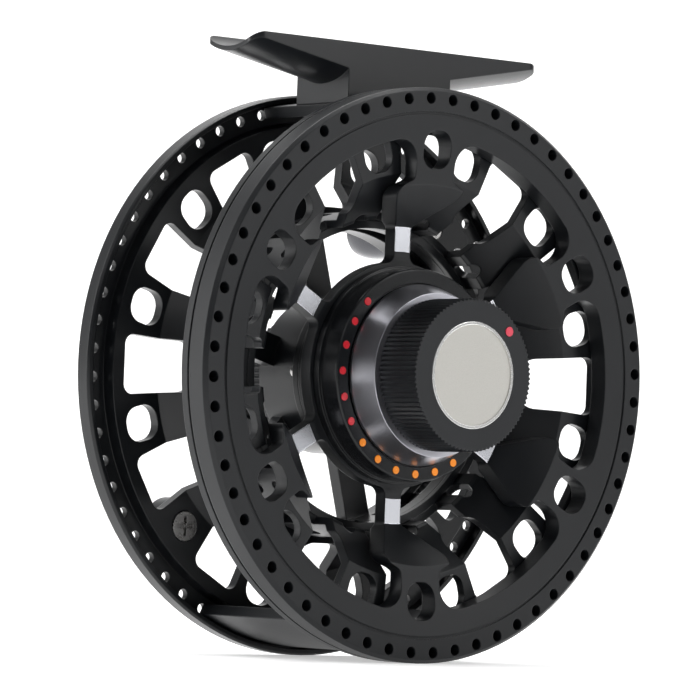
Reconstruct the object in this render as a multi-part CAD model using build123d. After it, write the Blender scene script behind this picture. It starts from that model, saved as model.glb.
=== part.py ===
from build123d import *
from math import cos, pi, radians, sin, sqrt
import os

# Fly reel with a drilled open frame, a front drag knob and a large-arbor spool.
# Millimetres, +Z up. The reel's axis is the Y axis: y = 0 is the front face of the
# frame's ring, on the drag side, and +Y points to the handle side. The foot is on top.
# Angles go from +X towards +Z, as seen from the drag side. The last lines move the
# finished reel so that its origin lies at the rod seat on the foot.

# ---- fits, as gaps per side ----
seat_gap = 0.02  # pressed or screwed together
slide_gap = 0.05  # turns or slides on its neighbour
face_gap = 0.1  # faces that pass each other
run_gap = 0.4  # clear running space

# ---- frame ring, front plate and cage ----
ring_radius = 45.0
ring_depth = 6.0
ring_edge = 0.6
ring_groove_y = 3.9
ring_groove_width = 0.4
ring_groove_depth = 0.3
cage_wall = 1.8
cage_step = 1.3
cage_radius = ring_radius - cage_step
cage_bore = cage_radius - cage_wall
plate_depth = 3.7
rim_width = 7.8
window_radius = ring_radius - rim_width
window_corner = 3.4
face_groove_radius = ring_radius - 3.8
face_groove_width = 0.4
face_groove_depth = 0.25
rim_hole_radius = ring_radius - 1.7
rim_hole_diameter = 1.8
rim_holes = 60
top_shell_half_angle = 14.5
bottom_shell_half_angle = 27.5

# ---- drag housing, frame hub and dial ----
housing_radius = 14.2
housing_wall = 2.0
housing_bore = housing_radius - housing_wall
housing_floor_y = 6.5
boss_radius = housing_radius + 0.2
boss_y = 3.5
hub_radius = boss_radius + 3.4
hub_y = 8.4
dial_radius = boss_radius + 2.3
dial_y = 3.2
dial_base_radius = boss_radius + 2.8
dial_base_height = 1.4
dot_circle = boss_radius + 1.1
dot_radius = 0.62
dot_depth = 0.4
dot_proud = 0.1
dot_pitch = 15.0
dots_per_colour = 6
first_red_angle = 135.0

# ---- frame spokes ----
spokes = 6
spoke_span = window_radius - hub_radius
spoke_half_width = 3.9
crease_radius = hub_radius + 0.62 * spoke_span
crease_y = 1.3
shoulder_half_width = 7.2
shoulder_radius = hub_radius + 0.57 * spoke_span
neck_half_width = 1.6
neck_radius = hub_radius + 0.29 * spoke_span
neck_y = 8.3
neck_thickness = 2.4
spoke_corner = 1.2
hub_corner = 1.5
oval_radius = window_radius - 1.9
oval_width = 5.6
oval_height = 6.0
oval_corner = 2.4

# ---- drag knob ----
knob_face_y = -9.7
skirt_radius = housing_radius
skirt_y = 3.1
collar_radius = skirt_radius - 1.4
collar_y = -1.3
grip_radius = skirt_radius - 2.3
grip_rib_depth = 0.35
grip_ribs = 96
grip_wall = 1.5
grip_front = 1.4
knob_core_y = -6.6
knob_cavity_radius = grip_radius - 2.9
knob_cavity_y = -3.6
medallion_radius = grip_radius - 3.6
medallion_depth = 0.9
medallion_rim = 0.5
medallion_rim_height = 0.12
pointer_angle = 45.0
pointer_circle = grip_radius - 1.8
pointer_radius = 0.75
knob_screw_radius = 1.2
knob_screw_head_radius = 2.4
knob_screw_head = 0.9
knob_washer_radius = 4.2

# ---- spindle ----
spindle_stub_radius = 3.0
spindle_radius = 3.5
spindle_flange_radius = 5.0
spindle_flange = 0.8
nut_half_flats = 4.0
nut_height = 1.6
spindle_screw_radius = 1.5
spindle_screw_head_radius = 4.2
spindle_screw_head = 1.2

# ---- drag pack ----
thrust_travel = 0.6
thrust_plate_y = -0.6
thrust_plate_thickness = 2.0
thrust_pins = 3
thrust_pin_radius = 0.9
thrust_pin_circle = 7.4
thrust_pin_seat = 1.0
thrust_ring_y = housing_floor_y + 1.0
thrust_ring_thickness = 0.8
pack_bore = 5.6
spring_thickness = 0.4
spring_rise = 0.35
pressure_plate_thickness = 1.05
friction_discs = 3
friction_thickness = 0.8
friction_radius = housing_bore - 1.9
steel_thickness = 0.6
dowels = 3
dowel_radius = 0.6
dowel_circle = friction_radius + 0.95
dowel_seat = 0.9
hex_radius = 8.0
drag_rest_gap = 0.15  # what is left between plate and discs at full drag
cap_thickness = 1.35
cap_screws = 6
cap_screw_radius = 0.6
cap_screw_head_radius = 0.95
cap_screw_length = 4.0
seal_section = 1.0
seal_depth = 0.9

# ---- drive hub, bearings and one-way clutch ----
bearing_radius = 5.5
bearing_width = 3.0
bearing_race = 0.5
bearing_balls = 9
race_radius = 7.0
clutch_width = 5.5
roller_radius = 1.05
rollers = 10
cup_wall = 0.8
cup_lip = 0.5
sleeve_wall = 1.0
sleeve_cap = 0.9
stub_radius = 4.0
stub_groove_depth = 0.8

# ---- spool: carrier, cassette and arbor ----
web_y = 29.3
web_thickness = 1.8
web_slope_y = web_y - 5.7
spool_arms = 12
arm_phase = 15.0
flange_y = 4.2
flange_thickness = 1.6
flange_radius = cage_bore - 0.5
arbor_radius = ring_radius - 19.0
arbor_wall = 1.3
arbor_front_y = 11.4
arm_pitch = 2 * pi * arbor_radius / spool_arms
spool_window_radius = ring_radius - 7.0
spool_window_inner = arbor_radius + 0.9
spool_window_half_outer = 0.353 * arm_pitch
spool_window_half_inner = 0.287 * arm_pitch
spool_window_corner = 1.6
arm_crease_radius = arbor_radius + 0.467 * (spool_window_radius - arbor_radius)
annulus_y = web_y + 2.0
annulus_thickness = 1.2
annulus_bore = ring_radius - 4.4
lip_y = web_y
lip_wall = 1.0
lip_hole_radius = ring_radius - 2.45
lip_hole_diameter = 1.7
lip_holes = 60
arbor_gap = 0.44 * arm_pitch
arbor_slot_length = 0.37 * arm_pitch
arbor_slot_width = 2.6
arbor_slot_offset = 4.0
arbor_middle_y = (arbor_front_y + web_slope_y) / 2 - 0.5
arbor_band = 3.4
arbor_rear_band = 1.0
seat_wall = 1.3
seat_band = 2.4
bars = 6
bar_half_width = 1.6
barrel_wall = 1.5
barrel_floor = 0.9
spider_thickness = 2.4
spider_half_width = 2.4
lock_ring_thickness = 1.0

# ---- release knob and latch ----
release_radius = 8.6
release_rib_depth = 0.45
release_ribs = 60
release_height = 3.9
release_top = 1.3
latch_thickness = 1.0
latch_travel = 0.8
latch_half_width = 4.7
latch_boss_radius = 6.6
latch_boss_wall = 1.0
circlip_section = 0.4

# ---- handle and counterweight ----
handle_angle = 45.0
handle_radius = oval_radius
handle_length = 15.0
handle_base_radius = 3.6
handle_belly_radius = 4.3
handle_neck_radius = 3.7
stud_radius = 1.8
stud_thread_radius = 1.3
stud_head_radius = 2.9
stud_head = 1.0
stud_slot_width = 0.7
washer_radius = 3.4
washer_thickness = 0.4
handle_pad_radius = 4.4
handle_pad = 1.0
counterweight_radius = 4.5
counterweight_thickness = 3.6
cross_screw_head_radius = 2.35
cross_screw_head = 1.3
cross_screw_radius = 1.2
cross_slot = 0.55

# ---- foot ----
foot_half_length = 29.4
foot_half_width = 6.4
foot_y = (flange_y + web_y) / 2 + 0.05
foot_top_z = cage_radius + 8.2
foot_trough = 2.1
foot_root_z = cage_radius + 1.9
foot_tip_thickness = 0.7
foot_tip_round = 2.0
pedestal_half_length = 10.5
foot_screw_offset = 6.0
foot_screw_radius = 1.5
foot_screw_head_radius = 2.7
foot_screw_head = 1.2
foot_screw_seat_z = cage_bore - 0.05
foot_screw_length = 6.0

# ---- places worked out from the sizes above ----
pack_start = thrust_ring_y + thrust_ring_thickness + 2 * (spring_thickness + spring_rise)
plate_y = pack_start + face_gap
discs_y = plate_y + pressure_plate_thickness + thrust_travel + drag_rest_gap
disc_pitch = friction_thickness + steel_thickness + 2 * face_gap
discs_end_y = discs_y + (friction_discs - 1) * disc_pitch + friction_thickness
cap_y = discs_end_y + face_gap
cap_end_y = cap_y + cap_thickness
cap_bore = hex_radius + 0.35
front_bearing_y = discs_y + face_gap
clutch_y = cap_end_y + 0.85
spindle_end_y = clutch_y + clutch_width + 0.6
rear_bearing_y = spindle_end_y - 0.2 - bearing_width
roller_circle = race_radius + slide_gap + roller_radius
cup_bore = roller_circle + roller_radius + slide_gap
cup_radius = cup_bore + cup_wall
sleeve_bore = cup_radius + seat_gap
sleeve_radius = sleeve_bore + sleeve_wall
sleeve_cap_y = spindle_end_y + 1.5
barrel_bore = sleeve_radius + slide_gap
barrel_radius = barrel_bore + barrel_wall
barrel_y = clutch_y - face_gap
barrel_floor_y = sleeve_cap_y + sleeve_cap + face_gap
barrel_end_y = barrel_floor_y + barrel_floor
neck_end_y = max(web_y + 2.7, barrel_end_y + barrel_floor)
release_y = neck_end_y + 0.15
latch_y = neck_end_y + 0.2
circlip_y = latch_y + latch_thickness + 0.3
latch_boss_end_y = circlip_y + 2.5 * circlip_section
arbor_bore = arbor_radius - arbor_wall
seat_radius = arbor_bore - slide_gap
seat_bore = seat_radius - seat_wall
seat_front_y = arbor_middle_y + arbor_band / 2 - seat_band
spider_y = web_slope_y + 0.4


def polar(radius, angle):
    """Point of the XZ plane at a radius and an angle from +X towards +Z."""
    return (radius * cos(radians(angle)), radius * sin(radians(angle)))


def turned(*points):
    """Solid turned about the Y axis from (radius, y) points."""
    return revolve(make_face(Polyline(*points, close=True)), Axis.Y)


def tube(radius, bore, start, end):
    return turned((bore, start), (radius, start), (radius, end), (bore, end))


def rod(radius, start, end, x=0.0, z=0.0):
    """Cylinder along Y from start to end."""
    blank = Cylinder(radius, end - start, align=(Align.CENTER, Align.CENTER, Align.MIN))
    return Pos(x, start, z) * Rot(-90, 0, 0) * blank


def slab(sketch, start, end):
    """Sketch of the XZ plane, extruded along Y from start to end."""
    return extrude(Plane.XZ.offset(-start) * sketch, amount=end - start, dir=(0, 1, 0))


def turn(shape, angle):
    """The shape turned about the reel's axis, from +X towards +Z."""
    return Rot(0, -angle, 0) * shape


def around(shape, count, first=0.0):
    return [turn(shape, first + 360.0 * k / count) for k in range(count)]


def sector(start_angle, end_angle, reach=2.0 * ring_radius):
    """Wedge of the XZ plane about the reel's axis."""
    steps = 4
    span = end_angle - start_angle
    rim = [polar(reach, start_angle + span * k / steps) for k in range(steps + 1)]
    return Polygon((0, 0), *rim, align=None)


def mirrored(points):
    """Outline of (half width, radius) points, closed across the line of symmetry."""
    left = [(-x, y) for x, y in points]
    return Polygon(*left, *reversed(points), align=None)


def ribbed(tip_radius, rib_depth, ribs, start, end):
    """Disc whose rim carries fine ribs along Y."""
    rim = [
        polar(tip_radius - rib_depth * (k % 2), 180.0 * k / ribs) for k in range(2 * ribs)
    ]
    return slab(Polygon(*rim, align=None), start, end)


def hexagon(radius, start, end):
    return slab(RegularPolygon(radius, 6), start, end)


def o_ring(radius, y, section_radius):
    ring = Pos(radius, y) * Circle(section_radius)
    return revolve(ring, Axis.Y)


def oval(angle, radius=oval_radius):
    """Rounded lightening hole centred on an arm or spoke, as a cutter."""
    hole = RectangleRounded(oval_width, oval_height, oval_corner)
    return turn(slab(Pos(0, radius) * hole, -1, ring_radius), angle - 90)


def group(shapes):
    """Separate solids that share one node."""
    return Compound(children=[s for shape in shapes for s in shape.solids()])


def arm_angles():
    return [arm_phase + 360.0 * k / spool_arms for k in range(spool_arms)]


# ---- frame ----


def frame_window():
    """Openings between the spokes, with rounded corners."""
    outline = [
        (spoke_half_width, window_radius + 2),
        (spoke_half_width, crease_radius + 0.6),
        (shoulder_half_width, shoulder_radius),
        (neck_half_width, neck_radius),
        (neck_half_width, hub_radius - 1),
    ]
    spoke = mirrored(outline)
    windows = Circle(window_radius) - Circle(hub_radius)
    for k in range(spokes):
        windows -= Rot(0, 0, 360.0 * k / spokes) * spoke
    corners = windows.vertices()
    rim = [v for v in corners if Vector(v.X, v.Y).length > window_radius - 0.5]
    hub = [v for v in corners if Vector(v.X, v.Y).length < hub_radius + 0.5]
    windows = fillet(rim, window_corner)
    hub = [v for v in windows.vertices() if Vector(v.X, v.Y).length < hub_radius + 0.5]
    windows = fillet(hub, hub_corner)
    bends = [
        v
        for v in windows.vertices()
        if min(
            (Vector(v.X, v.Y).length - Vector(*p).length) ** 2 for p in outline[1:4]
        )
        < 1e-4
    ]
    windows = fillet(bends, spoke_corner)
    return slab(windows, -1, neck_y + neck_thickness + 1)


def frame_plate():
    """Ring, dished front plate and hub, before the openings are cut."""
    groove = face_groove_radius
    back = neck_y + neck_thickness
    return turned(
        (spindle_radius + seat_gap, boss_y),
        (boss_radius, boss_y),
        (boss_radius, hub_y),
        (hub_radius, hub_y),
        (hub_radius + 0.8, neck_y),
        (neck_radius, neck_y),
        (crease_radius, crease_y),
        (groove - face_groove_width, 0),
        (groove - face_groove_width, face_groove_depth),
        (groove, face_groove_depth),
        (groove, 0),
        (ring_radius - ring_edge, 0),
        (ring_radius, ring_edge),
        (ring_radius, ring_groove_y),
        (ring_radius - ring_groove_depth, ring_groove_y),
        (ring_radius - ring_groove_depth, ring_groove_y + ring_groove_width),
        (ring_radius, ring_groove_y + ring_groove_width),
        (ring_radius, ring_depth - ring_edge / 2),
        (ring_radius - ring_edge / 2, ring_depth),
        (cage_bore, ring_depth),
        (cage_bore, plate_depth),
        (crease_radius + 1.2, plate_depth),
        (neck_radius + 1.0, back),
        (housing_radius, back),
        (housing_radius, cap_y),
        (housing_bore, cap_y),
        (housing_bore, housing_floor_y),
        (spindle_radius + seat_gap, housing_floor_y),
    )


def foot_screw_places():
    return [(-foot_screw_offset, foot_y), (foot_screw_offset, foot_y)]


def frame():
    body = frame_plate() - frame_window()
    end = annulus_y - run_gap
    shell = tube(cage_radius, cage_bore, ring_depth - 0.5, end)
    top = sector(90 - top_shell_half_angle, 90 + top_shell_half_angle)
    bottom = sector(270 - bottom_shell_half_angle, 270 + bottom_shell_half_angle)
    body += shell & slab(top, ring_depth - 1, end + 1)
    body += shell & slab(bottom, ring_depth - 1, end + 1)
    for k in range(spokes):
        body -= oval(90 + 360.0 * k / spokes)
    x, z = polar(rim_hole_radius, 0)
    rim_hole = rod(rim_hole_diameter / 2, -1, ring_depth - 1.5, x, z)
    body -= around(rim_hole, rim_holes, 180.0 / rim_holes)
    x, z = polar(thrust_pin_circle, 90)
    pin_hole = rod(thrust_pin_radius + slide_gap, 0, housing_floor_y + 1, x, z)
    body -= around(pin_hole, thrust_pins)
    x, z = polar(housing_radius - housing_wall / 2, 0)
    tapped = rod(cap_screw_radius + seat_gap, cap_end_y - cap_screw_length - 0.3, cap_y + 1, x, z)
    body -= around(tapped, cap_screws)
    for x, y in foot_screw_places():
        seat = foot_screw_seat_z
        body -= Pos(x, y, seat + 3) * Cylinder(foot_screw_radius + slide_gap, 8)
        pocket_depth = 3.0
        pocket = Cylinder(foot_screw_head_radius + face_gap, pocket_depth)
        body -= Pos(x, y, seat - pocket_depth / 2) * pocket
    return body


# ---- foot ----


def foot_section(edge_z):
    """Foot's cross-section in the YZ plane: a trough above, a convex belly below."""
    w = foot_half_width
    top = foot_top_z
    low = edge_z - foot_trough
    line = [
        ThreePointArc((-w, top), (0, top - foot_trough), (w, top)),
        Line((w, top), (w, edge_z)),
        ThreePointArc((w, edge_z), (0, low), (-w, edge_z)),
        Line((-w, edge_z), (-w, top)),
    ]
    return make_face(line)


def reel_foot():
    root_edge = foot_root_z + foot_trough
    tip_edge = foot_top_z - foot_tip_thickness
    root = Plane(origin=(pedestal_half_length, foot_y, 0), x_dir=(0, 1, 0), z_dir=(1, 0, 0))
    tip = Plane(origin=(foot_half_length, foot_y, 0), x_dir=(0, 1, 0), z_dir=(1, 0, 0))
    wing = loft([root * foot_section(root_edge), tip * foot_section(tip_edge)], ruled=True)
    middle = extrude(root * foot_section(root_edge), amount=-2 * pedestal_half_length)
    body = middle + wing + mirror(wing, Plane.YZ)
    plan = RectangleRounded(2 * foot_half_length, 2 * foot_half_width, foot_tip_round)
    body &= Pos(0, foot_y, 0) * extrude(plan, amount=2 * foot_top_z)
    height = root_edge - cage_bore
    block = Box(
        2 * pedestal_half_length,
        2 * foot_half_width,
        height,
        align=(Align.CENTER, Align.CENTER, Align.MIN),
    )
    block = Pos(0, foot_y, cage_bore) * block
    reach = foot_half_width + 1
    block -= rod(cage_radius + seat_gap, foot_y - reach, foot_y + reach)
    body += block
    for x, y in foot_screw_places():
        depth = foot_screw_length + 0.5
        hole = Cylinder(foot_screw_radius + seat_gap, 2 * depth)
        body -= Pos(x, y, foot_screw_seat_z) * hole
    return body


def foot_screws():
    head = Cylinder(
        foot_screw_head_radius, foot_screw_head, align=(Align.CENTER, Align.CENTER, Align.MAX)
    )
    head -= extrude(RegularPolygon(1.2, 6), amount=-2 * foot_screw_head) & Pos(
        0, 0, -1.5 * foot_screw_head
    ) * Box(9, 9, 2 * foot_screw_head)
    shank = Cylinder(
        foot_screw_radius, foot_screw_length, align=(Align.CENTER, Align.CENTER, Align.MIN)
    )
    screw = head + shank
    return group([Pos(x, y, foot_screw_seat_z) * screw for x, y in foot_screw_places()])


# ---- dial ----


def dial_ring():
    ring = turned(
        (boss_radius + seat_gap, dial_y),
        (dial_radius - 0.2, dial_y),
        (dial_radius, dial_y + 0.2),
        (dial_radius, hub_y - dial_base_height),
        (dial_base_radius, hub_y - dial_base_height),
        (dial_base_radius, hub_y),
        (boss_radius + seat_gap, hub_y),
    )
    seat = rod(dot_radius + seat_gap, dial_y - 1, dial_y + dot_depth, *polar(dot_circle, 0))
    for k in range(3 * dots_per_colour):
        ring -= turn(seat, first_red_angle + dot_pitch * k)
    return ring


def dial_dots(first_angle):
    dot = rod(dot_radius, dial_y - dot_proud, dial_y + dot_depth, *polar(dot_circle, 0))
    return group([turn(dot, first_angle + dot_pitch * k) for k in range(dots_per_colour)])


# ---- drag knob ----


def knob_body():
    core = grip_radius - grip_wall - seat_gap
    return turned(
        (spindle_stub_radius + slide_gap, knob_core_y),
        (core, knob_core_y),
        (core, collar_y),
        (collar_radius, collar_y),
        (skirt_radius, skirt_y - 0.5),
        (skirt_radius, skirt_y),
        (skirt_radius - 1.2, skirt_y),
        (skirt_radius - 1.6, skirt_y - 2.4),
        (knob_cavity_radius, skirt_y - 2.4),
        (knob_cavity_radius, knob_cavity_y),
        (spindle_stub_radius + slide_gap, knob_cavity_y),
    )


def knob_grip():
    end = collar_y - seat_gap
    body = ribbed(grip_radius, grip_rib_depth, grip_ribs, knob_face_y, end)
    body -= rod(grip_radius - grip_wall, knob_face_y + grip_front, end + 1)
    body -= rod(medallion_radius + seat_gap, knob_face_y - 1, knob_face_y + medallion_depth)
    x, z = polar(pointer_circle, pointer_angle)
    body -= rod(pointer_radius + seat_gap, knob_face_y - 1, knob_face_y + dot_depth, x, z)
    return body


def knob_medallion():
    face = knob_face_y + medallion_rim_height
    body = rod(medallion_radius, face, knob_face_y + medallion_depth)
    bore = medallion_radius - medallion_rim
    return body + tube(medallion_radius, bore, knob_face_y, face + 0.1)


def pointer_dot():
    x, z = polar(pointer_circle, pointer_angle)
    return rod(pointer_radius, knob_face_y - dot_proud, knob_face_y + dot_depth, x, z)


def knob_screw():
    """Retaining screw and washer that hold the knob on the spindle's stub."""
    washer_end = knob_core_y - seat_gap - face_gap
    washer_y = washer_end - washer_thickness
    washer = tube(knob_washer_radius, knob_screw_radius + face_gap, washer_y, washer_end)
    head_end = washer_y - seat_gap
    head_y = head_end - knob_screw_head
    screw = rod(knob_screw_head_radius, head_y, head_end)
    screw += rod(knob_screw_radius, head_end - 0.1, knob_core_y + 3.6)
    screw -= hexagon(0.75 * knob_screw_radius, head_y - 1, head_y + 0.5)
    return group([screw, washer])


def knob_seal():
    section_radius = seal_section / 3
    return o_ring(boss_radius - 2.6, boss_y - section_radius - seat_gap, section_radius)


# ---- spindle ----


def spindle():
    stub_end = knob_core_y + 0.1
    flange_end = housing_floor_y + spindle_flange
    body = turned(
        (0, stub_end),
        (spindle_stub_radius, stub_end),
        (spindle_stub_radius, boss_y - nut_height),
        (spindle_radius, boss_y - nut_height),
        (spindle_radius, housing_floor_y),
        (spindle_flange_radius, housing_floor_y),
        (spindle_flange_radius, flange_end),
        (spindle_radius, flange_end),
        (spindle_radius, spindle_end_y),
        (0, spindle_end_y),
    )
    body -= rod(knob_screw_radius + seat_gap, stub_end - 1, stub_end + 4.0)
    body -= rod(spindle_screw_radius + seat_gap, spindle_end_y - 6.0, spindle_end_y + 1)
    return body


def spindle_nut():
    body = hexagon(2 * nut_half_flats / sqrt(3), boss_y - nut_height, boss_y)
    return body - rod(spindle_radius + seat_gap, 0, boss_y + 1)


def spindle_screw():
    head_end = spindle_end_y + spindle_screw_head
    head = rod(spindle_screw_head_radius, spindle_end_y + seat_gap, head_end)
    screw = head + rod(spindle_screw_radius, spindle_end_y - 5.5, spindle_end_y + 0.5)
    return screw - hexagon(0.8 * spindle_screw_radius, head_end - 0.7, head_end + 1)


# ---- drag pack ----


def thrust_plate():
    end = thrust_plate_y + thrust_plate_thickness
    plate = tube(knob_cavity_radius - slide_gap, pack_bore, thrust_plate_y, end)
    x, z = polar(thrust_pin_circle, 90)
    seat = rod(thrust_pin_radius + seat_gap, end - thrust_pin_seat, end + 1, x, z)
    return plate - around(seat, thrust_pins)


def thrust_pin_set():
    start = thrust_plate_y + thrust_plate_thickness - thrust_pin_seat
    pin = rod(thrust_pin_radius, start, thrust_ring_y, *polar(thrust_pin_circle, 90))
    return group(around(pin, thrust_pins))


def thrust_ring():
    end = thrust_ring_y + thrust_ring_thickness
    return tube(housing_bore - 0.2, pack_bore, thrust_ring_y, end)


def disc_spring(start, rise_in, rise_out):
    """Coned washer: its inner or its outer edge stands further back."""
    outer = housing_bore - 0.8
    return turned(
        (pack_bore, start + rise_in),
        (outer, start + rise_out),
        (outer, start + rise_out + spring_thickness),
        (pack_bore, start + rise_in + spring_thickness),
    )


def front_disc_spring():
    return disc_spring(thrust_ring_y + thrust_ring_thickness, spring_rise, 0)


def rear_disc_spring():
    start = thrust_ring_y + thrust_ring_thickness + spring_thickness + spring_rise
    return disc_spring(start + slide_gap, 0, spring_rise)


def pressure_plate():
    end = plate_y + pressure_plate_thickness
    return tube(housing_bore - 0.2, spindle_radius + 1.0, plate_y, end)


def friction_disc_set():
    disc = rod(friction_radius, discs_y, discs_y + friction_thickness)
    disc -= hexagon(hex_radius + slide_gap, discs_y - 1, discs_y + friction_thickness + 1)
    return group([Pos(0, disc_pitch * k, 0) * disc for k in range(friction_discs)])


def steel_disc_set():
    start = discs_y + friction_thickness + face_gap
    disc = tube(housing_bore - slide_gap, hex_radius + 0.3, start, start + steel_thickness)
    hole = rod(dowel_radius + slide_gap, start - 1, start + 2, *polar(dowel_circle, 30))
    disc -= around(hole, dowels)
    return group([Pos(0, disc_pitch * k, 0) * disc for k in range(friction_discs - 1)])


def disc_dowels():
    x, z = polar(dowel_circle, 30)
    pin = rod(dowel_radius, discs_y + friction_thickness, cap_y + dowel_seat, x, z)
    return group(around(pin, dowels))


def housing_cap():
    body = tube(housing_radius, cap_bore, cap_y, cap_end_y)
    x, z = polar(dowel_circle, 30)
    dowel_hole = rod(dowel_radius + seat_gap, cap_y - 1, cap_y + dowel_seat, x, z)
    body -= around(dowel_hole, dowels)
    x, z = polar(housing_radius - housing_wall / 2, 0)
    screw_hole = rod(cap_screw_radius + slide_gap, cap_y - 1, cap_end_y + 1, x, z)
    body -= around(screw_hole, cap_screws)
    return body - tube(cap_bore + seal_section, cap_bore - 1, cap_end_y - seal_depth, cap_end_y + 1)


def cap_screw_set():
    x, z = polar(housing_radius - housing_wall / 2, 0)
    shank = rod(cap_screw_radius, cap_end_y - cap_screw_length, cap_end_y + 0.1, x, z)
    head = rod(cap_screw_head_radius, cap_end_y + seat_gap, cap_end_y + 0.6, x, z)
    return group(around(head + shank, cap_screws))


def shaft_seal():
    start = cap_end_y - seal_depth + seat_gap
    bore = hex_radius + 0.2 + slide_gap
    return tube(cap_bore + seal_section - seat_gap, bore, start, cap_end_y)


# ---- drive hub, bearings and clutch ----


def drive_hub():
    collar = hex_radius + 0.2
    body = hexagon(hex_radius, discs_y, cap_y)
    body += rod(collar, cap_y, cap_end_y + 0.4)
    body += rod(race_radius, cap_end_y, rear_bearing_y + bearing_width)
    body -= rod(spindle_radius + 0.6, discs_y - 1, spindle_end_y + 1)
    pocket = bearing_radius + seat_gap
    body -= rod(pocket, discs_y - 1, front_bearing_y + bearing_width)
    return body - rod(pocket, rear_bearing_y, spindle_end_y + 1)


def bearing(start):
    """Ball bearing: inner race, outer race and balls."""
    end = start + bearing_width
    inner_bore = spindle_radius + slide_gap
    inner = tube(inner_bore + bearing_race, inner_bore, start, end)
    outer = tube(bearing_radius, bearing_radius - bearing_race, start, end)
    middle = (inner_bore + bearing_radius) / 2
    ball_radius = (bearing_radius - inner_bore) / 2 - bearing_race - 0.02
    place = polar(middle, 0)
    ball = Pos(place[0], (start + end) / 2, place[1]) * Sphere(ball_radius)
    return [inner, outer] + around(ball, bearing_balls)


def clutch_cup():
    end = clutch_y + clutch_width
    lip_bore = race_radius + run_gap
    cup = tube(cup_radius, cup_bore, clutch_y, end)
    cup += tube(cup_radius, lip_bore, clutch_y, clutch_y + cup_lip)
    return cup + tube(cup_radius, lip_bore, end - cup_lip, end)


def clutch_rollers():
    start = clutch_y + cup_lip + face_gap
    end = clutch_y + clutch_width - cup_lip - face_gap
    roller = rod(roller_radius, start, end, *polar(roller_circle, 0))
    return group(around(roller, rollers))


def drive_sleeve():
    """Carries the spool: the clutch sits inside it and the latch grips its stub."""
    cap_end = sleeve_cap_y + sleeve_cap
    neck = stub_radius - stub_groove_depth
    groove_start = latch_y - 0.1
    groove_end = latch_y + latch_thickness + 0.1
    return turned(
        (0, sleeve_cap_y),
        (sleeve_bore, sleeve_cap_y),
        (sleeve_bore, clutch_y),
        (sleeve_radius, clutch_y),
        (sleeve_radius, cap_end),
        (stub_radius, cap_end),
        (stub_radius, groove_start),
        (neck, groove_start),
        (neck, groove_end),
        (stub_radius, groove_end),
        (stub_radius, groove_end + 0.4),
        (stub_radius - 0.6, groove_end + 0.9),
        (0, groove_end + 0.9),
    )


# ---- spool ----


def spool_window(angle):
    """Opening between two arms, as a cutter: wider at the rim, rounded corners."""
    outline = mirrored(
        [
            (spool_window_half_outer, spool_window_radius),
            (spool_window_half_inner, spool_window_inner),
        ]
    )
    outline = fillet(outline.vertices(), spool_window_corner)
    return turn(slab(outline, -1, ring_radius), angle - 90)


def arbor_gap_cutter(angle, start, end):
    """Opening between two bars of the arbor, as a cutter."""
    inner = arbor_bore - 2
    outer = spool_window_inner + 1
    gap = Pos(0, (inner + outer) / 2) * Rectangle(arbor_gap, outer - inner)
    return turn(slab(gap, start, end), angle - 90)


def line_cassette():
    """Front flange and open arbor of bars that hold the line."""
    t = flange_thickness
    end = web_slope_y - face_gap
    body = turned(
        (arbor_bore, arbor_front_y),
        (arbor_bore + 0.5, arbor_front_y - 0.3),
        (arm_crease_radius, flange_y),
        (flange_radius - 0.4, flange_y),
        (flange_radius, flange_y + 0.4),
        (flange_radius, flange_y + t),
        (arm_crease_radius + 0.6, flange_y + t),
        (arbor_radius, arbor_front_y + 1.0),
        (arbor_radius, end),
        (arbor_bore, end),
    )
    front = slab(Circle(ring_radius), 0, arbor_front_y + 2)
    band_start = arbor_middle_y - arbor_band / 2
    band_end = arbor_middle_y + arbor_band / 2
    for angle in arm_angles():
        between = angle + 180.0 / spool_arms
        body -= spool_window(between) & front
        body -= arbor_gap_cutter(between, 0, band_start)
        body -= arbor_gap_cutter(between, band_end, end - arbor_rear_band)
        body -= oval(angle) & slab(Circle(ring_radius), 0, arbor_front_y)
    slot = SlotOverall(arbor_slot_length, arbor_slot_width, rotation=90)
    for side in (-1, 1):
        place = Plane(
            origin=(arbor_bore - 2, arbor_middle_y + side * arbor_slot_offset, 0),
            x_dir=(0, 0, 1),
            z_dir=(1, 0, 0),
        )
        cutter = extrude(place * slot, amount=arbor_wall + 4)
        body -= around(cutter, spool_arms, arm_phase)
    return body


def carrier_flange():
    """Rear flange of the spool: web, drilled annulus and palming lip."""
    back = web_y + web_thickness
    annulus_back = annulus_y + annulus_thickness
    return turned(
        (seat_bore, web_slope_y + 0.2),
        (arbor_radius, web_slope_y),
        (arm_crease_radius, web_y),
        (annulus_bore - 0.4, web_y),
        (annulus_bore, annulus_y),
        (ring_radius - lip_wall, annulus_y),
        (ring_radius - lip_wall, lip_y),
        (ring_radius - 0.3, lip_y),
        (ring_radius, lip_y + 0.4),
        (ring_radius, annulus_back - 0.5),
        (ring_radius - 0.5, annulus_back),
        (annulus_bore + 0.4, annulus_back),
        (annulus_bore - 0.3, back),
        (arm_crease_radius - 0.7, back),
        (arbor_radius, web_slope_y + web_thickness + 0.9),
        (seat_bore, web_slope_y + web_thickness + 0.9),
    )


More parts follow.
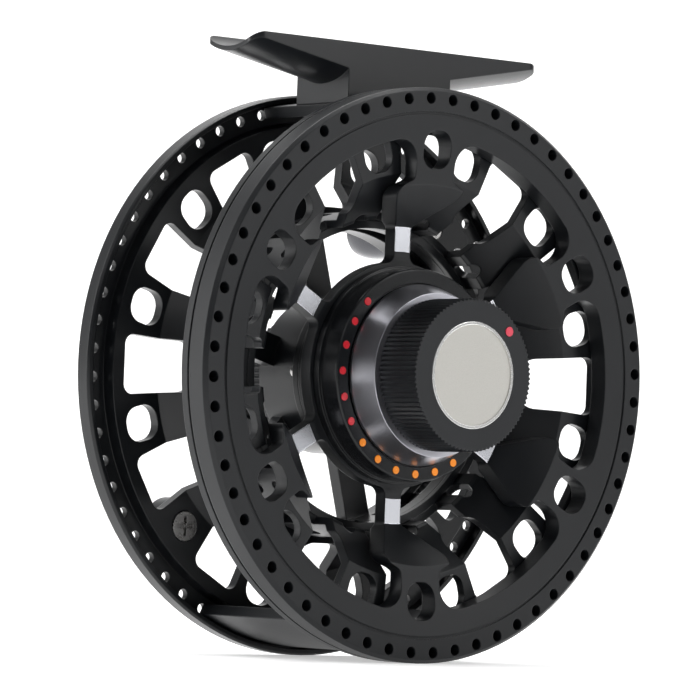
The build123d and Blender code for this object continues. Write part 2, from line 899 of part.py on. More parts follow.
def carrier_centre():
    """Arbor seat, its bars, the spider, and the barrel that the spool turns on."""
    back = web_slope_y + web_thickness + 0.9
    seat = tube(seat_radius, seat_bore, seat_front_y, back)
    bar = Pos((seat_bore + seat_radius) / 2, 0) * Rectangle(seat_wall + 2, 2 * bar_half_width)
    keep = slab(Circle(ring_radius), seat_front_y, seat_front_y + seat_band)
    keep += slab(Circle(ring_radius), web_slope_y - arbor_rear_band, back)
    for shape in around(slab(bar, seat_front_y, back), bars, handle_angle):
        keep += shape
    barrel = tube(barrel_radius, barrel_bore, barrel_y, barrel_end_y)
    barrel += tube(barrel_radius, stub_radius + face_gap, barrel_floor_y, barrel_end_y)
    neck_bore = latch_boss_radius - latch_boss_wall
    barrel += tube(latch_boss_radius, neck_bore, barrel_end_y - 0.1, latch_boss_end_y)
    neck_floor_y = neck_end_y - barrel_floor
    barrel += tube(latch_boss_radius, stub_radius + face_gap, neck_floor_y, neck_end_y)
    slot = Rectangle(4 * latch_boss_radius, 2 * latch_half_width + 0.3)
    barrel -= slab(slot, neck_end_y, latch_boss_end_y + 1)
    groove_bore = latch_boss_radius - circlip_section
    barrel -= tube(latch_boss_radius + 1, groove_bore, circlip_y, circlip_y + circlip_section)
    arm = mirrored([(spider_half_width, seat_bore + 0.5), (spider_half_width, barrel_bore + 0.5)])
    arm = turn(slab(arm, spider_y, spider_y + spider_thickness), handle_angle - 90)
    return (seat & keep) + around(arm, bars) + barrel


def spool_carrier():
    body = carrier_flange()
    for angle in arm_angles():
        body -= spool_window(angle + 180.0 / spool_arms)
        if (angle - handle_angle) % 180 > 1:
            body -= oval(angle)
    hole = rod(lip_hole_diameter / 2, annulus_y - 1, annulus_y + 5, *polar(lip_hole_radius, 0))
    body -= around(hole, lip_holes, 180.0 / lip_holes)
    back = web_y + web_thickness
    handle_place = polar(handle_radius, handle_angle)
    body += rod(handle_pad_radius, back - 0.5, back + handle_pad, *handle_place)
    body -= rod(stud_thread_radius + seat_gap, web_y - 1, back + 5, *handle_place)
    weight_place = polar(handle_radius, handle_angle + 180)
    body -= rod(cross_screw_radius + slide_gap, web_y - 1, back + 5, *weight_place)
    body -= rod(cross_screw_head_radius + face_gap, web_y - 1, web_y + cross_screw_head, *weight_place)
    return body + carrier_centre()


def cassette_lock_ring():
    end = seat_front_y - slide_gap
    return tube(seat_radius, seat_bore, end - lock_ring_thickness, end)


# ---- release knob and latch ----


def release_knob():
    end = release_y + release_height
    body = ribbed(release_radius, release_rib_depth, release_ribs, release_y, end)
    bore = latch_boss_radius + slide_gap
    body -= rod(bore, release_y - 1, end - release_top)
    groove = circlip_section + 0.1
    body -= tube(bore + groove, bore - 1, circlip_y - 0.05, circlip_y + circlip_section + 0.05)
    return body - turned((0, end - 0.6), (release_radius - 2.4, end + 0.1), (0, end + 0.1))


def release_latch():
    """Slide whose round hole stands off centre, so one side locks in the stub's groove."""
    reach = latch_boss_radius - latch_travel - slide_gap
    outline = Circle(reach) & Rectangle(2 * reach, 2 * latch_half_width)
    outline -= Pos(-latch_travel, 0) * Circle(stub_radius + face_gap)
    return slab(outline, latch_y, latch_y + latch_thickness)


def release_circlip():
    ring = tube(
        latch_boss_radius + circlip_section,
        latch_boss_radius - circlip_section + seat_gap,
        circlip_y + 0.02,
        circlip_y + circlip_section - 0.02,
    )
    return ring - slab(Pos(0, -latch_boss_radius) * Rectangle(1.2, 3), circlip_y - 1, circlip_y + 2)


# ---- handle and counterweight ----


def at_handle(shape, angle=handle_angle):
    x, z = polar(handle_radius, angle)
    return Pos(x, 0, z) * shape


def handle_start():
    return web_y + web_thickness + handle_pad + washer_thickness + 2 * face_gap


def handle_grip():
    start = handle_start()
    end = start + handle_length
    bore = stud_radius + slide_gap
    head_bore = stud_head_radius + face_gap
    outer = Spline(
        (handle_base_radius, start + 0.5),
        (handle_neck_radius, start + 0.3 * handle_length),
        (handle_belly_radius, start + 0.8 * handle_length),
        (handle_belly_radius - 0.5, end),
    )
    path = [
        Line((bore, start), (handle_base_radius - 0.4, start)),
        Line((handle_base_radius - 0.4, start), (handle_base_radius, start + 0.5)),
        outer,
        Line((handle_belly_radius - 0.5, end), (head_bore, end)),
        Line((head_bore, end), (head_bore, end - stud_head - face_gap)),
        Line((head_bore, end - stud_head - face_gap), (bore, end - stud_head - face_gap)),
        Line((bore, end - stud_head - face_gap), (bore, start)),
    ]
    return at_handle(revolve(make_face(path), Axis.Y))


def handle_stud():
    end = handle_start() + handle_length
    shoulder = web_y + web_thickness + handle_pad
    body = turned(
        (0, web_y + 0.1),
        (stud_thread_radius, web_y + 0.1),
        (stud_thread_radius, shoulder),
        (stud_radius, shoulder),
        (stud_radius, end - stud_head),
        (stud_head_radius, end - stud_head),
        (stud_head_radius, end - 0.2),
        (stud_head_radius - 0.4, end + 0.1),
        (0, end + 0.1),
    )
    slot = Box(4 * stud_head_radius, stud_head, stud_slot_width)
    return at_handle(body - Pos(0, end, 0) * slot)


def handle_washer():
    start = web_y + web_thickness + handle_pad + 0.01
    return at_handle(tube(washer_radius, stud_radius + slide_gap, start, start + washer_thickness))


def counterweight():
    start = web_y + web_thickness
    end = start + counterweight_thickness
    r = counterweight_radius
    body = turned((0, start), (r, start), (r, end - 0.6), (r - 0.6, end), (0, end))
    body -= rod(cross_screw_radius + seat_gap, start - 1, end - 0.8)
    return at_handle(body, handle_angle + 180)


def counterweight_screw():
    """Cross-recess screw whose head shows on the inside of the rear flange."""
    end = web_y + web_thickness + counterweight_thickness - 1.0
    body = rod(cross_screw_head_radius, web_y - 0.15, web_y + cross_screw_head - 0.05)
    body += rod(cross_screw_radius, web_y, end)
    for angle in (0, 90):
        slot = Rot(0, angle, 0) * Box(1.3 * cross_screw_head_radius, 1.2, cross_slot)
        body -= Pos(0, web_y - 0.15, 0) * slot
    return at_handle(body, handle_angle + 180)


nodes = {
    "frame": frame(),
    "reel_foot": reel_foot(),
    "foot_screws": foot_screws(),
    "dial_ring": dial_ring(),
    "dial_dots_red": dial_dots(first_red_angle),
    "dial_dots_orange": dial_dots(first_red_angle + dot_pitch * dots_per_colour),
    "dial_dots_yellow": dial_dots(first_red_angle + 2 * dot_pitch * dots_per_colour),
    "drag_knob": knob_body(),
    "drag_knob_grip": knob_grip(),
    "knob_medallion": knob_medallion(),
    "pointer_dot": pointer_dot(),
    "knob_screw": knob_screw(),
    "knob_seal": knob_seal(),
    "spindle": spindle(),
    "spindle_nut": spindle_nut(),
    "spindle_screw": spindle_screw(),
    "thrust_plate": thrust_plate(),
    "thrust_pins": thrust_pin_set(),
    "thrust_ring": thrust_ring(),
    "front_disc_spring": front_disc_spring(),
    "rear_disc_spring": rear_disc_spring(),
    "pressure_plate": pressure_plate(),
    "friction_discs": friction_disc_set(),
    "steel_discs": steel_disc_set(),
    "disc_dowels": disc_dowels(),
    "housing_cap": housing_cap(),
    "cap_screws": cap_screw_set(),
    "shaft_seal": shaft_seal(),
    "drive_hub": drive_hub(),
    "front_bearing": group(bearing(front_bearing_y)),
    "rear_bearing": group(bearing(rear_bearing_y)),
    "clutch_cup": clutch_cup(),
    "clutch_rollers": clutch_rollers(),
    "drive_sleeve": drive_sleeve(),
    "spool_carrier": spool_carrier(),
    "line_cassette": line_cassette(),
    "cassette_lock_ring": cassette_lock_ring(),
    "release_knob": release_knob(),
    "release_latch": release_latch(),
    "release_circlip": release_circlip(),
    "handle_grip": handle_grip(),
    "handle_stud": handle_stud(),
    "handle_washer": handle_washer(),
    "counterweight": counterweight(),
    "counterweight_screw": counterweight_screw(),
}

# The finished reel is placed with its origin at the rod seat: the lowest line of the
# foot's trough, halfway along it. Its axes stay as they are.
rod_seat = Pos(0, -foot_y, foot_trough - foot_top_z)

os.makedirs("parts", exist_ok=True)
for name, shape in nodes.items():
    export_step(rod_seat * shape, f"parts/{name}.step")
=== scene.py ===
"""Finishes, stage and camera for a fly reel whose solid parts come from the packed frame."""

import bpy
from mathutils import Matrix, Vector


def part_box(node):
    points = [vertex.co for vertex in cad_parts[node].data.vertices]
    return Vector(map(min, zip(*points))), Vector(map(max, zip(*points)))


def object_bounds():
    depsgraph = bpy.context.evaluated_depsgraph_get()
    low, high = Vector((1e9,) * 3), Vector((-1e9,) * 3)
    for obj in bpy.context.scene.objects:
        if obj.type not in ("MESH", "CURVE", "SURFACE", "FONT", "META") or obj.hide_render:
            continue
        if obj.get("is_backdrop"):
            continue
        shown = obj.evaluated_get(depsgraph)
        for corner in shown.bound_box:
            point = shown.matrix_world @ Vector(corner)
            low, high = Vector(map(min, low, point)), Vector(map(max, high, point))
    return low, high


bl_info = {
    "name": "Fly Reel Finishes",
    "version": (1, 0, 0),
    "blender": (4, 5, 0),
    "location": "View3D > Sidebar > Fly Reel",
    "description": "Gives every part of a fly reel its finish and sets up a studio around it",
    "category": "Object",
}

import math

import bpy
from bpy.props import FloatProperty, FloatVectorProperty, PointerProperty
from mathutils import Matrix, Vector

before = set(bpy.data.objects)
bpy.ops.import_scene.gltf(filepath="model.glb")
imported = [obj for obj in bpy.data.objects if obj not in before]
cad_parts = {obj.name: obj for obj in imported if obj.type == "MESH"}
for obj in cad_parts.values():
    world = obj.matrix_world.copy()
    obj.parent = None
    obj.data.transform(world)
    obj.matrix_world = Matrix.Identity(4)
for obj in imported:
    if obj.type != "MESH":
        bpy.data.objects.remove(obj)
MM = 0.001
CAD_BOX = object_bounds()


def middle(node):
    """Centre of a CAD node's box."""
    low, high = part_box(node)
    return (low + high) / 2


def half_width(node):
    """Radius of a round CAD node, from its width across."""
    low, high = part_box(node)
    return (high.x - low.x) / 2


AXIS_Z = middle("drag_knob").z
RING_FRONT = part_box("frame")[0].y
HUB_RADIUS = half_width("dial_ring")

# The bare facet on each spoke's neck: from its start outside the dial, and behind the ring.
FACET_START = 2.3 * MM
FACET_LENGTH = 3.9 * MM
FACET_DEPTH = 8.0 * MM

# How much lighter the anodised layer's light patches are, and how large the patches are.
PATCH_LIFT = 1.7
PATCH_SIZE = 9 * MM
BLACK_SPECULAR = 0.3

# The studio, in metres and watts: place is across, towards the back and up from the reel.
SWEEP_FRONT, SWEEP_REACH, SWEEP_COVE, SWEEP_WALL = -3.0, 1.6, 0.7, 2.6
SWEEP_HALF_WIDTH = 4.0
COVE_STEPS = 16
PAPER_GLOW = 0.55
AMBIENT = 0.16
SOFT_BOXES = (
    # name, place, width, height, power
    ("top_box", (-0.15, 0.15, 0.9), 0.9, 0.6, 9.0),
    ("left_box", (-0.9, -0.1, 0.25), 0.35, 0.9, 7.0),
    ("right_box", (0.85, -0.2, 0.45), 0.25, 0.7, 3.0),
    ("front_box", (-0.3, -1.3, 0.9), 0.9, 0.35, 2.2),
)
BACKDROP_PLACE, BACKDROP_AIM = (0, 0.6, 1.9), (0, 2.0, 0.2)
BACKDROP_WIDTH, BACKDROP_HEIGHT, BACKDROP_POWER = 2.4, 0.6, 30.0


# ---- shader tools ----


class Value:
    """A number that varies over a surface: a shader socket that takes Python's operators."""

    def __init__(self, finish, socket):
        self.finish = finish
        self.socket = socket

    def math(self, operation, first, second=0.0):
        node = self.finish.add(
            "ShaderNodeMath", {"operation": operation}, {0: first, 1: second}
        )
        return Value(self.finish, node.outputs[0])

    def __add__(self, other):
        return self.math("ADD", self, other)

    __radd__ = __add__

    def __sub__(self, other):
        return self.math("SUBTRACT", self, other)

    def __rsub__(self, other):
        return self.math("SUBTRACT", other, self)

    def __mul__(self, other):
        return self.math("MULTIPLY", self, other)

    __rmul__ = __mul__

    def __truediv__(self, other):
        return self.math("DIVIDE", self, other)

    def __rtruediv__(self, other):
        return self.math("DIVIDE", other, self)

    def __pow__(self, other):
        return self.math("POWER", self, other)

    def __rpow__(self, other):
        return self.math("POWER", other, self)

    def between(self, low, high, soft):
        """1 where the value lies between low and high, with soft edges."""
        return self.step(low, soft) * (1 - self.step(high, soft))

    def step(self, edge, soft):
        """0 below the edge and 1 above it, eased over the soft width."""
        node = self.finish.add(
            "ShaderNodeMapRange",
            {"interpolation_type": "SMOOTHSTEP"},
            {"Value": self, "From Min": edge - soft, "From Max": edge + soft},
        )
        return Value(self.finish, node.outputs["Result"])


class Finish:
    """A material with one Principled shader, and the nodes that feed it."""

    def __init__(self, name, **constants):
        self.material = bpy.data.materials.new(name)
        self.material.use_nodes = True
        self.tree = self.material.node_tree
        self.shader = self.tree.nodes["Principled BSDF"]
        for socket, value in constants.items():
            self.set(socket.replace("_", " ").title(), value)

    def set(self, socket, value):
        """Sets or links one input of the shader."""
        name = "Specular IOR Level" if socket == "Specular" else socket
        self.feed(self.shader.inputs[name], value)

    def feed(self, socket, value):
        if isinstance(value, Value):
            self.tree.links.new(value.socket, socket)
        elif isinstance(value, bpy.types.NodeSocket):
            self.tree.links.new(value, socket)
        elif socket.type == "RGBA":
            socket.default_value = (*value, 1.0)
        else:
            socket.default_value = value

    def add(self, kind, settings=(), inputs=()):
        """Adds a node: its settings first, then the values or links of its sockets."""
        node = self.tree.nodes.new(kind)
        for name, value in dict(settings).items():
            setattr(node, name, value)
        for key, value in dict(inputs).items():
            self.feed(node.inputs[key], value)
        return node

    def place(self):
        """Position on the part, as the three numbers x, y and z."""
        if not hasattr(self, "axes"):
            spot = self.add("ShaderNodeTexCoord").outputs["Object"]
            split = self.add("ShaderNodeSeparateXYZ", {}, {"Vector": spot})
            self.spot = spot
            self.axes = [Value(self, output) for output in split.outputs]
        return self.axes

    def radius(self, centre_x=0.0, centre_z=None):
        """Distance from an axis that runs along Y; the reel's own axis by default."""
        x, _, z = self.place()
        dx = x - centre_x
        dz = z - (AXIS_Z if centre_z is None else centre_z)
        return (dx * dx + dz * dz) ** 0.5

    def facing_front(self):
        """1 on faces that look to the drag side."""
        normal = self.add("ShaderNodeTexCoord").outputs["Normal"]
        split = self.add("ShaderNodeSeparateXYZ", {}, {"Vector": normal})
        return (0 - Value(self, split.outputs["Y"])).step(0.96, 0.02)

    def noise(self, size, detail=2.0, along=None):
        """Noise between 0 and 1 whose blobs are about size across."""
        settings = {"noise_dimensions": "3D" if along is None else "1D"}
        inputs = {"Scale": 1.0 / size, "Detail": detail}
        if along is None:
            self.place()
            inputs["Vector"] = self.spot
        else:
            inputs["W"] = along
        node = self.add("ShaderNodeTexNoise", settings, inputs)
        return Value(self, node.outputs["Fac"])

    def blend(self, mask, first, second):
        """A colour that goes from first to second with the mask."""
        node = self.add("ShaderNodeMix", {"data_type": "RGBA"}, {"Factor": mask})
        self.feed(node.inputs[6], first)
        self.feed(node.inputs[7], second)
        return node.outputs[2]

    def relief(self, height, depth, edge=0.0):
        """Bump from a height between 0 and 1, on edges rounded by the edge radius."""
        inputs = {"Height": height, "Distance": depth, "Strength": 1.0}
        if edge:
            rounded = self.add("ShaderNodeBevel", {"samples": 6}, {"Radius": edge})
            inputs["Normal"] = rounded.outputs["Normal"]
        bump = self.add("ShaderNodeBump", {}, inputs)
        self.set("Normal", bump.outputs["Normal"])

    def cover(self, *nodes):
        """Puts this material on CAD nodes."""
        for name in nodes:
            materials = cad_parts[name].data.materials
            materials.clear()
            materials.append(self.material)


# ---- settings ----


class SatinBlackSettings(bpy.types.PropertyGroup):
    """Black anodised aluminium of the frame, spool and foot."""

    colour: FloatVectorProperty(
        name="Colour", description="Colour of the anodised layer", subtype="COLOR",
        size=3, min=0, max=1, default=(0.0040, 0.0046, 0.0056),
    )
    roughness: FloatProperty(
        name="Roughness", description="How matt the layer is", subtype="FACTOR",
        min=0, max=1, default=0.36,
    )
    grain: FloatProperty(
        name="Grain", description="Size of the blasted grain", unit="LENGTH",
        min=0.00001, default=0.14 * MM,
    )
    grain_depth: FloatProperty(
        name="Grain Depth", description="Depth of the grain", unit="LENGTH",
        min=0, default=0.006 * MM,
    )
    edge: FloatProperty(
        name="Edge Radius", description="Radius of the broken edges", unit="LENGTH",
        min=0, default=0.28 * MM,
    )


class BareMetalSettings(bpy.types.PropertyGroup):
    """Bare, polished and blasted metal."""

    facet: FloatVectorProperty(
        name="Facet", description="Cut facets on the spokes' necks", subtype="COLOR",
        size=3, min=0, max=1, default=(0.62, 0.63, 0.67),
    )
    gunmetal: FloatVectorProperty(
        name="Gunmetal", description="Polished collar and handle", subtype="COLOR",
        size=3, min=0, max=1, default=(0.46, 0.46, 0.50),
    )
    medallion: FloatVectorProperty(
        name="Medallion", description="Blasted disc in the knob", subtype="COLOR",
        size=3, min=0, max=1, default=(0.52, 0.51, 0.48),
    )
    steel: FloatVectorProperty(
        name="Steel", description="Screws, shafts and bearings", subtype="COLOR",
        size=3, min=0, max=1, default=(0.52, 0.51, 0.50),
    )
    turning: FloatProperty(
        name="Turning", description="Pitch of the fine turned lines", unit="LENGTH",
        min=0.00001, default=0.12 * MM,
    )


class EnamelSettings(bpy.types.PropertyGroup):
    """Glossy paint in the dial's seats."""

    red: FloatVectorProperty(
        name="Red", description="High drag marks", subtype="COLOR",
        size=3, min=0, max=1, default=(0.66, 0.012, 0.025),
    )
    orange: FloatVectorProperty(
        name="Orange", description="Middle drag marks", subtype="COLOR",
        size=3, min=0, max=1, default=(0.95, 0.27, 0.004),
    )
    yellow: FloatVectorProperty(
        name="Yellow", description="Low drag marks", subtype="COLOR",
        size=3, min=0, max=1, default=(0.80, 0.62, 0.02),
    )
    pointer: FloatVectorProperty(
        name="Pointer", description="Mark on the knob's face", subtype="COLOR",
        size=3, min=0, max=1, default=(0.72, 0.06, 0.10),
    )


class StageSettings(bpy.types.PropertyGroup):
    """Floor, lights and camera."""

    floor: FloatVectorProperty(
        name="Floor", description="Colour of floor and backdrop", subtype="COLOR",
        size=3, min=0, max=1, default=(0.86, 0.86, 0.86),
    )
    azimuth: FloatProperty(
        name="Azimuth", description="Camera's turn round the reel, 0 faces the drag side",
        subtype="ANGLE", unit="ROTATION", default=math.radians(-40.73),
    )
    elevation: FloatProperty(
        name="Elevation", description="Camera's height angle", subtype="ANGLE",
        unit="ROTATION", default=math.radians(-1.85),
    )
    roll: FloatProperty(
        name="Roll", description="Camera's tilt about its own line of sight",
        subtype="ANGLE", unit="ROTATION", default=math.radians(2.1),
    )
    pan: FloatProperty(
        name="Pan", description="Turn of the camera away from the ring's middle",
        subtype="ANGLE", unit="ROTATION", default=math.radians(0.997),
    )
    tilt: FloatProperty(
        name="Tilt", description="Lift of the camera above the ring's middle",
        subtype="ANGLE", unit="ROTATION", default=math.radians(0.307),
    )
    distance: FloatProperty(
        name="Distance", description="From the ring's centre to the camera",
        unit="LENGTH", min=0.1, default=736.6 * MM,
    )
    view_angle: FloatProperty(
        name="View Angle", description="Camera's whole angle of view", subtype="ANGLE",
        unit="ROTATION", min=0.01, default=math.radians(8.483),
    )
    power: FloatProperty(
        name="Light Power", description="Scales all lamps", min=0, default=1.0,
    )


# ---- finishes ----


def satin_black(name, settings, shade=1.0, gloss=0.0):
    """Anodised black: blasted grain, slow changes of sheen and broken edges."""
    finish = Finish(name, metallic=0.0, specular=BLACK_SPECULAR)
    cloud = finish.noise(PATCH_SIZE, 3.0)
    grain = finish.noise(settings.grain, 2.0)
    dark = [shade * channel for channel in settings.colour]
    light = [PATCH_LIFT * channel for channel in dark]
    finish.set("Base Color", finish.blend(cloud, dark, light))
    finish.set("Roughness", settings.roughness - gloss - 0.04 + 0.08 * cloud)
    finish.relief(grain, settings.grain_depth, settings.edge)
    return finish


def turned_metal(name, colour, roughness, turning, rings):
    """Lathe-turned bare metal: fine rings round the radius that is given."""
    finish = Finish(name, metallic=1.0)
    line = finish.noise(turning, 2.0, along=rings(finish))
    cloud = finish.noise(6 * MM)
    finish.set("Base Color", finish.blend(cloud, [0.86 * c for c in colour], colour))
    finish.set("Roughness", roughness - 0.03 + 0.06 * line)
    finish.relief(line, 0.0015 * MM, 0.15 * MM)
    return finish


def plain_steel(name, colour, roughness):
    """Machined steel with faint smears."""
    finish = Finish(name, metallic=1.0)
    smear = finish.noise(1.5 * MM, 4.0)
    finish.set("Base Color", finish.blend(smear, [0.8 * c for c in colour], colour))
    finish.set("Roughness", roughness - 0.06 + 0.12 * smear)
    finish.relief(finish.noise(0.2 * MM), 0.002 * MM, 0.12 * MM)
    return finish


def enamel(name, colour):
    """Thick glossy paint."""
    finish = Finish(name, metallic=0.0, coat_weight=0.6, coat_roughness=0.05)
    skin = finish.noise(0.5 * MM)
    finish.set("Base Color", finish.blend(skin, [0.8 * c for c in colour], colour))
    finish.set("Roughness", 0.22 + 0.08 * skin)
    finish.relief(skin, 0.01 * MM, 0.2 * MM)
    return finish


def soft_black(name, shade, roughness):
    """Rubber and carbon friction material."""
    finish = Finish(name, metallic=0.0)
    skin = finish.noise(0.3 * MM, 4.0)
    dark = [shade, shade, shade * 1.05]
    finish.set("Base Color", finish.blend(skin, dark, [1.6 * c for c in dark]))
    finish.set("Roughness", roughness - 0.05 + 0.1 * skin)
    finish.relief(skin, 0.01 * MM)
    return finish


class ReelOperator:
    """What the reel's operators share."""

    bl_options = {"REGISTER", "UNDO"}

    @staticmethod
    def satin(context):
        return context.scene.reel_satin_black

    @staticmethod
    def bare(context):
        return context.scene.reel_bare_metal


class REEL_OT_frame(ReelOperator, bpy.types.Operator):
    """Black frame with bare facets cut on the necks of its spokes"""

    bl_idname = "reel.finish_frame"
    bl_label = "Finish Frame"

    def execute(self, context):
        finish = Finish("frame_anodised", specular=BLACK_SPECULAR)
        satin, bare = self.satin(context), self.bare(context)
        _, depth, _ = finish.place()
        radius = finish.radius()
        facet_low = HUB_RADIUS + FACET_START
        facet_high = facet_low + FACET_LENGTH
        facet = radius.between(facet_low, facet_high, 0.02 * MM) * finish.facing_front()
        facet = facet * depth.step(RING_FRONT + FACET_DEPTH, 0.05 * MM)
        cloud = finish.noise(PATCH_SIZE, 3.0)
        light = [PATCH_LIFT * channel for channel in satin.colour]
        black = finish.blend(cloud, satin.colour, light)
        finish.set("Base Color", finish.blend(facet, black, bare.facet))
        finish.set("Metallic", facet)
        finish.set("Roughness", (satin.roughness + 0.06 * cloud) * (1 - 0.35 * facet))
        grain = finish.noise(satin.grain, 2.0)
        finish.relief(grain * (1 - facet), satin.grain_depth, satin.edge)
        finish.cover("frame")
        return {"FINISHED"}


class REEL_OT_foot(ReelOperator, bpy.types.Operator):
    """Black foot, and the screws that hold it"""

    bl_idname = "reel.finish_foot"
    bl_label = "Finish Foot"

    def execute(self, context):
        satin_black("foot_anodised", self.satin(context), 1.1, 0.05).cover("reel_foot")
        steel = plain_steel("foot_screw_steel", self.bare(context).steel, 0.35)
        steel.cover("foot_screws")
        return {"FINISHED"}


class REEL_OT_dial(ReelOperator, bpy.types.Operator):
    """Black dial ring and its coloured marks"""

    bl_idname = "reel.finish_dial"
    bl_label = "Finish Dial"

    def execute(self, context):
        paint = context.scene.reel_enamel
        satin_black("dial_anodised", self.satin(context), 0.8, 0.1).cover("dial_ring")
        for colour in ("red", "orange", "yellow"):
            finish = enamel(f"dial_{colour}_enamel", list(getattr(paint, colour)))
            finish.cover(f"dial_dots_{colour}")
        return {"FINISHED"}


class REEL_OT_knob(ReelOperator, bpy.types.Operator):
    """Polished collar, ribbed grip, medallion and pointer of the drag knob"""

    bl_idname = "reel.finish_knob"
    bl_label = "Finish Drag Knob"

    def execute(self, context):
        bare = self.bare(context)
        collar = turned_metal(
            "collar_gunmetal", list(bare.gunmetal), 0.30, bare.turning,
            lambda finish: finish.place()[1],
        )
        collar.cover("drag_knob")
        satin_black("grip_anodised", self.satin(context), 1.3, -0.04).cover("drag_knob_grip")
        self.medallion(bare)
        pointer = enamel("pointer_enamel", list(context.scene.reel_enamel.pointer))
        pointer.cover("pointer_dot")
        plain_steel("knob_screw_steel", bare.steel, 0.3).cover("knob_screw")
        soft_black("knob_seal_rubber", 0.012, 0.6).cover("knob_seal")
        return {"FINISHED"}

    @staticmethod
    def medallion(bare):
        """Blasted face inside a narrow polished rim."""
        finish = Finish("medallion_blasted", metallic=1.0)
        rim = finish.radius().step(half_width("knob_medallion") - 0.45 * MM, 0.03 * MM)
        speck = finish.noise(0.16 * MM, 3.0)
        dull = [0.72 * channel for channel in bare.medallion]
        field = finish.blend(speck, dull, bare.medallion)
        finish.set("Base Color", finish.blend(rim, field, (0.75, 0.75, 0.74)))
        finish.set("Roughness", 0.5 - 0.32 * rim + 0.06 * speck)
        finish.relief(speck * (1 - rim), 0.02 * MM, 0.1 * MM)
        finish.cover("knob_medallion")


class REEL_OT_spool(ReelOperator, bpy.types.Operator):
    """Black spool, its cassette and release knob"""

    bl_idname = "reel.finish_spool"
    bl_label = "Finish Spool"

    def execute(self, context):
        satin = self.satin(context)
        satin_black("carrier_anodised", satin, 0.8, 0.06).cover("spool_carrier")
        cassette = satin_black("cassette_anodised", satin, 1.0, 0.02)
        cassette.cover("line_cassette", "cassette_lock_ring")
        satin_black("release_anodised", satin, 1.1, 0.0).cover("release_knob")
        return {"FINISHED"}


class REEL_OT_handle(ReelOperator, bpy.types.Operator):
    """Polished handle, its stud and washer, and the counterweight across from it"""

    bl_idname = "reel.finish_handle"
    bl_label = "Finish Handle"

    def execute(self, context):
        bare = self.bare(context)
        centre = middle("handle_grip")
        grip = turned_metal(
            "handle_gunmetal", [0.16 * c for c in bare.gunmetal], 0.24, bare.turning,
            lambda finish: finish.place()[1] + 0.2 * finish.radius(centre.x, centre.z),
        )
        grip.cover("handle_grip")
        plain_steel("handle_steel", bare.steel, 0.25).cover("handle_stud", "handle_washer")
        satin_black("weight_blackened", self.satin(context), 1.2, 0.0).cover("counterweight")
        dark_steel = [0.5 * channel for channel in bare.steel]
        plain_steel("weight_screw_steel", dark_steel, 0.28).cover("counterweight_screw")
        return {"FINISHED"}


class REEL_OT_inside(ReelOperator, bpy.types.Operator):
    """Shafts, bearings, discs, springs and seals inside the hub"""

    bl_idname = "reel.finish_inside"
    bl_label = "Finish Inside"

    def execute(self, context):
        bare = self.bare(context)
        plain_steel("ground_steel", bare.steel, 0.22).cover(
            "spindle", "drive_hub", "drive_sleeve", "thrust_pins", "disc_dowels",
            "pressure_plate", "steel_discs", "front_bearing", "rear_bearing",
            "clutch_cup", "clutch_rollers",
        )
        plain_steel("fastener_steel", bare.steel, 0.35).cover(
            "spindle_nut", "spindle_screw", "cap_screws", "release_latch", "thrust_ring",
        )
        dark_steel = [0.45 * channel for channel in bare.steel]
        plain_steel("spring_steel", dark_steel, 0.3).cover(
            "front_disc_spring", "rear_disc_spring", "release_circlip"
        )
        plain_steel("turned_brass", (0.62, 0.42, 0.16), 0.28).cover("thrust_plate")
        soft_black("friction_carbon", 0.02, 0.5).cover("friction_discs")
        soft_black("seal_rubber", 0.012, 0.6).cover("shaft_seal")
        satin_black("housing_anodised", self.satin(context)).cover("housing_cap")
        return {"FINISHED"}


# ---- stage ----


def lamp(name, place, aim, width, height, power):
    """Soft box at a place, turned towards the aim."""
    data = bpy.data.lights.new(name, "AREA")
    data.shape = "RECTANGLE"
    data.size, data.size_y = width, height
    data.energy = power
    box = bpy.data.objects.new(name, data)
    bpy.context.scene.collection.objects.link(box)
    box.location = place
    box.rotation_mode = "QUATERNION"
    box.rotation_quaternion = (aim - place).to_track_quat("-Z", "Y")


def direction(azimuth, elevation):
    """Unit vector from the reel towards the camera."""
    level = math.cos(elevation)
    return Vector(
        (math.sin(azimuth) * level, -math.cos(azimuth) * level, math.sin(elevation))
    )


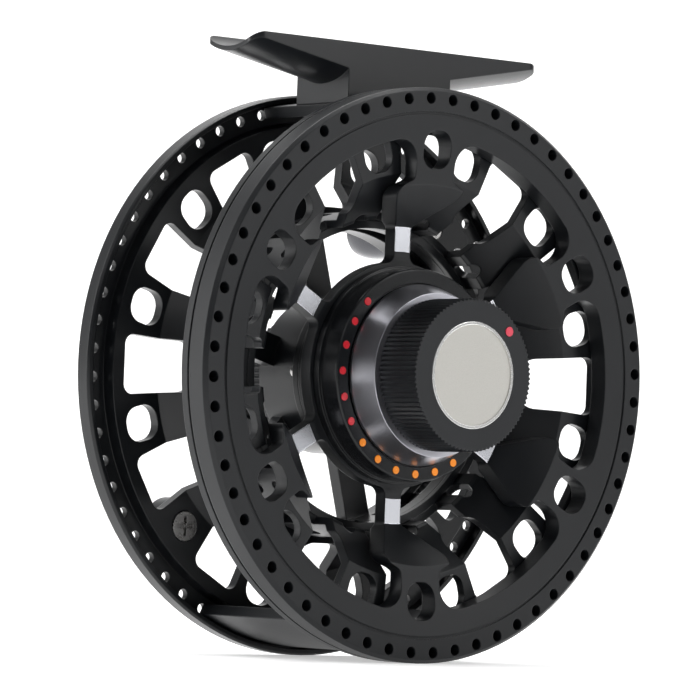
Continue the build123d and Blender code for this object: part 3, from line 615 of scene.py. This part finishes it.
class REEL_OT_stage(ReelOperator, bpy.types.Operator):
    """Pale floor that sweeps up behind the reel, soft boxes and the camera"""

    bl_idname = "reel.set_stage"
    bl_label = "Set Stage"

    def execute(self, context):
        stage = context.scene.reel_stage
        self.sweep(context, stage)
        self.camera(context, stage)
        self.lights(context, stage)
        return {"FINISHED"}

    @staticmethod
    def sweep(context, stage):
        """Floor, a round cove and a wall, turned to face the camera."""
        floor_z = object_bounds()[0].z
        profile = [(SWEEP_FRONT, 0.0)]
        for k in range(COVE_STEPS + 1):
            angle = math.pi / 2 * k / COVE_STEPS
            back = SWEEP_REACH + SWEEP_COVE * math.sin(angle)
            profile.append((back, SWEEP_COVE - SWEEP_COVE * math.cos(angle)))
        profile.append((SWEEP_REACH + SWEEP_COVE, SWEEP_WALL))
        points = [(side * SWEEP_HALF_WIDTH, y, z) for side in (-1, 1) for y, z in profile]
        count = len(profile)
        faces = [(k, k + 1, count + k + 1, count + k) for k in range(count - 1)]
        mesh = bpy.data.meshes.new("studio_sweep")
        mesh.from_pydata(points, [], faces)
        mesh.shade_smooth()
        sweep = bpy.data.objects.new("studio_sweep", mesh)
        context.scene.collection.objects.link(sweep)
        turn = Matrix.Rotation(stage.azimuth, 4, "Z")
        sweep.matrix_world = Matrix.Translation((0, 0, floor_z)) @ turn
        paper = Finish(
            "studio_paper", roughness=0.9, specular=0.2, emission_strength=PAPER_GLOW
        )
        paper.set("Emission Color", stage.floor)
        fibre = paper.noise(0.02, 3.0)
        paper.set("Base Color", paper.blend(fibre, [0.985 * c for c in stage.floor], stage.floor))
        mesh.materials.append(paper.material)
        sweep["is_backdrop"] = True

    @staticmethod
    def camera(context, stage):
        """Looks past the ring's middle, so that the whole reel is centred in the view."""
        data = bpy.data.cameras.new("studio_camera")
        data.angle = stage.view_angle
        data.clip_start, data.clip_end = 0.05, 20
        camera = bpy.data.objects.new("studio_camera", data)
        context.scene.collection.objects.link(camera)
        back = direction(stage.azimuth, stage.elevation)
        level = (-back).to_track_quat("-Z", "Y")
        roll = Matrix.Rotation(stage.roll, 4, "Z").to_quaternion()
        across = Matrix.Rotation(stage.pan, 4, "Y").to_quaternion()
        upward = Matrix.Rotation(stage.tilt, 4, "X").to_quaternion()
        camera.location = Vector((0, RING_FRONT, AXIS_Z)) + back * stage.distance
        camera.rotation_mode = "QUATERNION"
        camera.rotation_quaternion = level @ roll @ across @ upward
        context.scene.camera = camera

    @staticmethod
    def lights(context, stage):
        """Large soft boxes above and beside the reel, and one for the backdrop."""
        middle_of_reel = (CAD_BOX[0] + CAD_BOX[1]) / 2
        turn = Matrix.Rotation(stage.azimuth, 4, "Z")
        for name, offset, width, height, power in SOFT_BOXES:
            place = middle_of_reel + turn @ Vector(offset)
            lamp(name, place, middle_of_reel, width, height, power * stage.power)
        world = bpy.data.worlds.new("studio_world")
        world.use_nodes = True
        background = world.node_tree.nodes["Background"]
        background.inputs["Color"].default_value = (1, 1, 1, 1)
        background.inputs["Strength"].default_value = AMBIENT
        context.scene.world = world
        behind = middle_of_reel + turn @ Vector(BACKDROP_PLACE)
        target = middle_of_reel + turn @ Vector(BACKDROP_AIM)
        power = BACKDROP_POWER * stage.power
        lamp("backdrop_box", behind, target, BACKDROP_WIDTH, BACKDROP_HEIGHT, power)
        context.scene.view_settings.view_transform = "Standard"


class REEL_PT_panel(bpy.types.Panel):
    """Lists the reel's finishes and its stage"""

    bl_idname = "REEL_PT_panel"
    bl_label = "Fly Reel"
    bl_space_type = "VIEW_3D"
    bl_region_type = "UI"
    bl_category = "Fly Reel"

    def draw(self, context):
        scene = context.scene
        for group in GROUPS:
            box = self.layout.box()
            box.label(text=group.__doc__)
            for name in group.__annotations__:
                box.prop(getattr(scene, GROUPS[group]), name)
        for operator in OPERATORS:
            self.layout.operator(operator.bl_idname)


GROUPS = {
    SatinBlackSettings: "reel_satin_black",
    BareMetalSettings: "reel_bare_metal",
    EnamelSettings: "reel_enamel",
    StageSettings: "reel_stage",
}
OPERATORS = (
    REEL_OT_stage,
    REEL_OT_frame,
    REEL_OT_foot,
    REEL_OT_dial,
    REEL_OT_knob,
    REEL_OT_spool,
    REEL_OT_handle,
    REEL_OT_inside,
)


def register():
    for group, name in GROUPS.items():
        bpy.utils.register_class(group)
        setattr(bpy.types.Scene, name, PointerProperty(type=group))
    for part in (*OPERATORS, REEL_PT_panel):
        bpy.utils.register_class(part)


def unregister():
    for part in reversed((*OPERATORS, REEL_PT_panel)):
        bpy.utils.unregister_class(part)
    for group, name in GROUPS.items():
        delattr(bpy.types.Scene, name)
        bpy.utils.unregister_class(group)


def main():
    register()
    bpy.ops.reel.set_stage()
    bpy.ops.reel.finish_frame()
    bpy.ops.reel.finish_foot()
    bpy.ops.reel.finish_dial()
    bpy.ops.reel.finish_knob()
    bpy.ops.reel.finish_spool()
    bpy.ops.reel.finish_handle()
    bpy.ops.reel.finish_inside()


if __name__ == "__main__":
    main()
